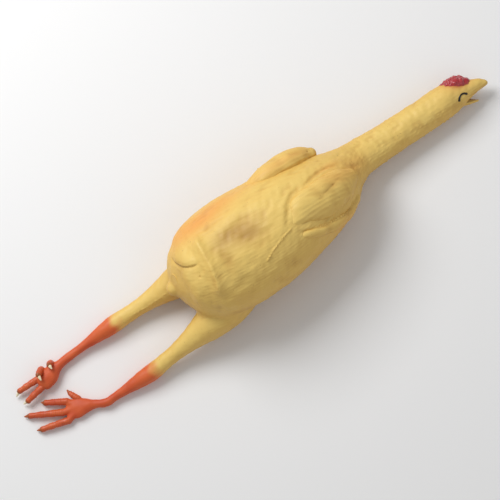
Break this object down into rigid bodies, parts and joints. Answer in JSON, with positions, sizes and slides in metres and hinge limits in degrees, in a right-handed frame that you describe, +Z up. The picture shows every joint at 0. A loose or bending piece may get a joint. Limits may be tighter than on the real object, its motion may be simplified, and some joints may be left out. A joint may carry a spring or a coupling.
{
  "type": "rubber chicken",
  "caption": "Floppy latex rubber chicken prop lying on its belly, with bending neck, opening beak, folded wings, jointed legs and curling toes.",
  "frame": {"origin": "on the floor under the middle of the overall bounding box; the flat under the belly rests on z = 0", "axes": "+X from the feet to the beak, +Y to the bird's left, +Z up, with the bird lying on its belly and leaning to its left"},
  "size_m": [0.54, 0.1103, 0.0936],
  "materials": {
    "latex_yellow": "satin",
    "latex_orange": "satin",
    "latex_crimson": "satin",
    "latex_cream": "satin",
    "eyelid_black": "satin",
    "foam": "matte"
  },
  "bodies": {
    "torso": {"torso_skin": "latex_yellow", "torso_foam": "foam", "rump_plug": "latex_yellow"},
    "neck_lower": {"neck_lower_skin": "latex_yellow", "neck_lower_foam": "foam"},
    "neck_middle": {"neck_middle_skin": "latex_yellow", "neck_middle_foam": "foam"},
    "neck_upper": {"neck_upper_skin": "latex_yellow", "neck_upper_foam": "foam"},
    "head": {"head_skin": "latex_yellow", "head_foam": "foam", "comb": "latex_crimson", "right_eyelid": "eyelid_black", "left_eyelid": "eyelid_black"},
    "lower_beak": {"lower_beak": "latex_yellow"},
    "right_wing": {"right_wing_skin": "latex_yellow", "right_wing_foam": "foam"},
    "right_thigh": {"right_thigh_skin": "latex_yellow", "right_thigh_foam": "foam"},
    "right_shank": {"right_shank": "latex_orange"},
    "right_foot": {"right_foot_pad": "latex_orange"},
    "right_inner_toe": {"right_inner_toe": "latex_orange", "right_inner_claw": "latex_cream"},
    "right_middle_toe": {"right_middle_toe": "latex_orange", "right_middle_claw": "latex_cream"},
    "right_outer_toe": {"right_outer_toe": "latex_orange", "right_outer_claw": "latex_cream"},
    "right_rear_toe": {"right_rear_toe": "latex_orange", "right_rear_claw": "latex_cream"},
    "left_wing": {"left_wing_skin": "latex_yellow", "left_wing_foam": "foam"},
    "left_thigh": {"left_thigh_skin": "latex_yellow", "left_thigh_foam": "foam"},
    "left_shank": {"left_shank": "latex_orange"},
    "left_foot": {"left_foot_pad": "latex_orange"},
    "left_inner_toe": {"left_inner_toe": "latex_orange", "left_inner_claw": "latex_cream"},
    "left_middle_toe": {"left_middle_toe": "latex_orange", "left_middle_claw": "latex_cream"},
    "left_outer_toe": {"left_outer_toe": "latex_orange", "left_outer_claw": "latex_cream"},
    "left_rear_toe": {"left_rear_toe": "latex_orange", "left_rear_claw": "latex_cream"}
  },
  "joints": [
    {"name": "neck_lower_bend", "type": "hinge", "parent": "torso", "child": "neck_lower", "pos_m": [0.12384, 0.01022, 0.0215], "axis": [0, -1, 0], "range_deg": [-28, 28], "stiffness_Nm_per_rad": 0.2},
    {"name": "neck_middle_bend", "type": "hinge", "parent": "neck_lower", "child": "neck_middle", "pos_m": [0.15984, 0.01152, 0.0172], "axis": [0, 0, 1], "range_deg": [-32, 32], "stiffness_Nm_per_rad": 0.2},
    {"name": "neck_upper_bend", "type": "hinge", "parent": "neck_middle", "child": "neck_upper", "pos_m": [0.19684, 0.00992, 0.0162], "axis": [0, -1, 0], "range_deg": [-32, 32], "stiffness_Nm_per_rad": 0.2},
    {"name": "head_bend", "type": "hinge", "parent": "neck_upper", "child": "head", "pos_m": [0.23184, 0.00772, 0.0156], "axis": [-0.0775, -0.463, 0.8829], "range_deg": [-28, 28], "stiffness_Nm_per_rad": 0.12},
    {"name": "beak_open", "type": "hinge", "parent": "head", "child": "lower_beak", "pos_m": [0.23839, -0.00161, 0.01128], "axis": [0.0775, 0.463, -0.8829], "range_deg": [-9, 16], "stiffness_Nm_per_rad": 0.02},
    {"name": "right_wing_flap", "type": "hinge", "parent": "torso", "child": "right_wing", "pos_m": [0.07484, 0.00599, 0.07979], "axis": [-1, 0, 0], "range_deg": [0, 30], "stiffness_Nm_per_rad": 0.06},
    {"name": "right_hip_swing", "type": "hinge", "parent": "torso", "child": "right_thigh", "pos_m": [-0.06216, -0.03728, 0.0275], "axis": [0, -1, 0], "range_deg": [-6, 45], "stiffness_Nm_per_rad": 0.15},
    {"name": "right_knee_bend", "type": "hinge", "parent": "right_thigh", "child": "right_shank", "pos_m": [-0.14616, -0.04178, 0.0086], "axis": [0, -1, 0], "range_deg": [-35, 50], "stiffness_Nm_per_rad": 0.06},
    {"name": "right_ankle_bend", "type": "hinge", "parent": "right_shank", "child": "right_foot", "pos_m": [-0.20316, -0.03978, 0.0046], "axis": [0, -1, 0], "range_deg": [-25, 35], "stiffness_Nm_per_rad": 0.03},
    {"name": "right_inner_toe_curl", "type": "hinge", "parent": "right_foot", "child": "right_inner_toe", "pos_m": [-0.22866, -0.02178, 0.0044], "axis": [0.6074, 0.7944, 0], "range_deg": [-8, 30], "stiffness_Nm_per_rad": 0.004},
    {"name": "right_middle_toe_curl", "type": "hinge", "parent": "right_foot", "child": "right_middle_toe", "pos_m": [-0.23716, -0.02828, 0.0042], "axis": [0.5582, 0.8297, 0], "range_deg": [-8, 30], "stiffness_Nm_per_rad": 0.004},
    {"name": "right_outer_toe_curl", "type": "hinge", "parent": "right_foot", "child": "right_outer_toe", "pos_m": [-0.23666, -0.03778, 0.0042], "axis": [0.3552, 0.9348, 0], "range_deg": [-8, 30], "stiffness_Nm_per_rad": 0.004},
    {"name": "right_rear_toe_curl", "type": "hinge", "parent": "right_foot", "child": "right_rear_toe", "pos_m": [-0.21816, -0.02578, 0.0046], "axis": [0.9212, 0.389, 0], "range_deg": [-8, 30], "stiffness_Nm_per_rad": 0.004},
    {"name": "left_wing_flap", "type": "hinge", "parent": "torso", "child": "left_wing", "pos_m": [0.07484, 0.02417, 0.07317], "axis": [1, 0, 0], "range_deg": [0, 30], "stiffness_Nm_per_rad": 0.06},
    {"name": "left_hip_swing", "type": "hinge", "parent": "torso", "child": "left_thigh", "pos_m": [-0.06416, 0.00972, 0.018], "axis": [0, -1, 0], "range_deg": [-6, 45], "stiffness_Nm_per_rad": 0.15},
    {"name": "left_knee_bend", "type": "hinge", "parent": "left_thigh", "child": "left_shank", "pos_m": [-0.15016, 0.01322, 0.0086], "axis": [0, -1, 0], "range_deg": [-35, 50], "stiffness_Nm_per_rad": 0.06},
    {"name": "left_ankle_bend", "type": "hinge", "parent": "left_shank", "child": "left_foot", "pos_m": [-0.21116, 0.01222, 0.0056], "axis": [0, -1, 0], "range_deg": [-25, 35], "stiffness_Nm_per_rad": 0.03},
    {"name": "left_inner_toe_curl", "type": "hinge", "parent": "left_foot", "child": "left_inner_toe", "pos_m": [-0.23766, 0.00322, 0.0064], "axis": [-0.1542, 0.988, 0], "range_deg": [-8, 30], "stiffness_Nm_per_rad": 0.004},
    {"name": "left_middle_toe_curl", "type": "hinge", "parent": "left_foot", "child": "left_middle_toe", "pos_m": [-0.23816, 0.01152, 0.0064], "axis": [-0.054, 0.9985, 0], "range_deg": [-8, 30], "stiffness_Nm_per_rad": 0.004},
    {"name": "left_outer_toe_curl", "type": "hinge", "parent": "left_foot", "child": "left_outer_toe", "pos_m": [-0.23216, 0.01672, 0.009], "axis": [-0.7399, 0.6727, 0], "range_deg": [-8, 30], "stiffness_Nm_per_rad": 0.004},
    {"name": "left_rear_toe_curl", "type": "hinge", "parent": "left_foot", "child": "left_rear_toe", "pos_m": [-0.22116, 0.01692, 0.0086], "axis": [-0.8437, 0.5369, 0], "range_deg": [-8, 30], "stiffness_Nm_per_rad": 0.004}
  ]
}
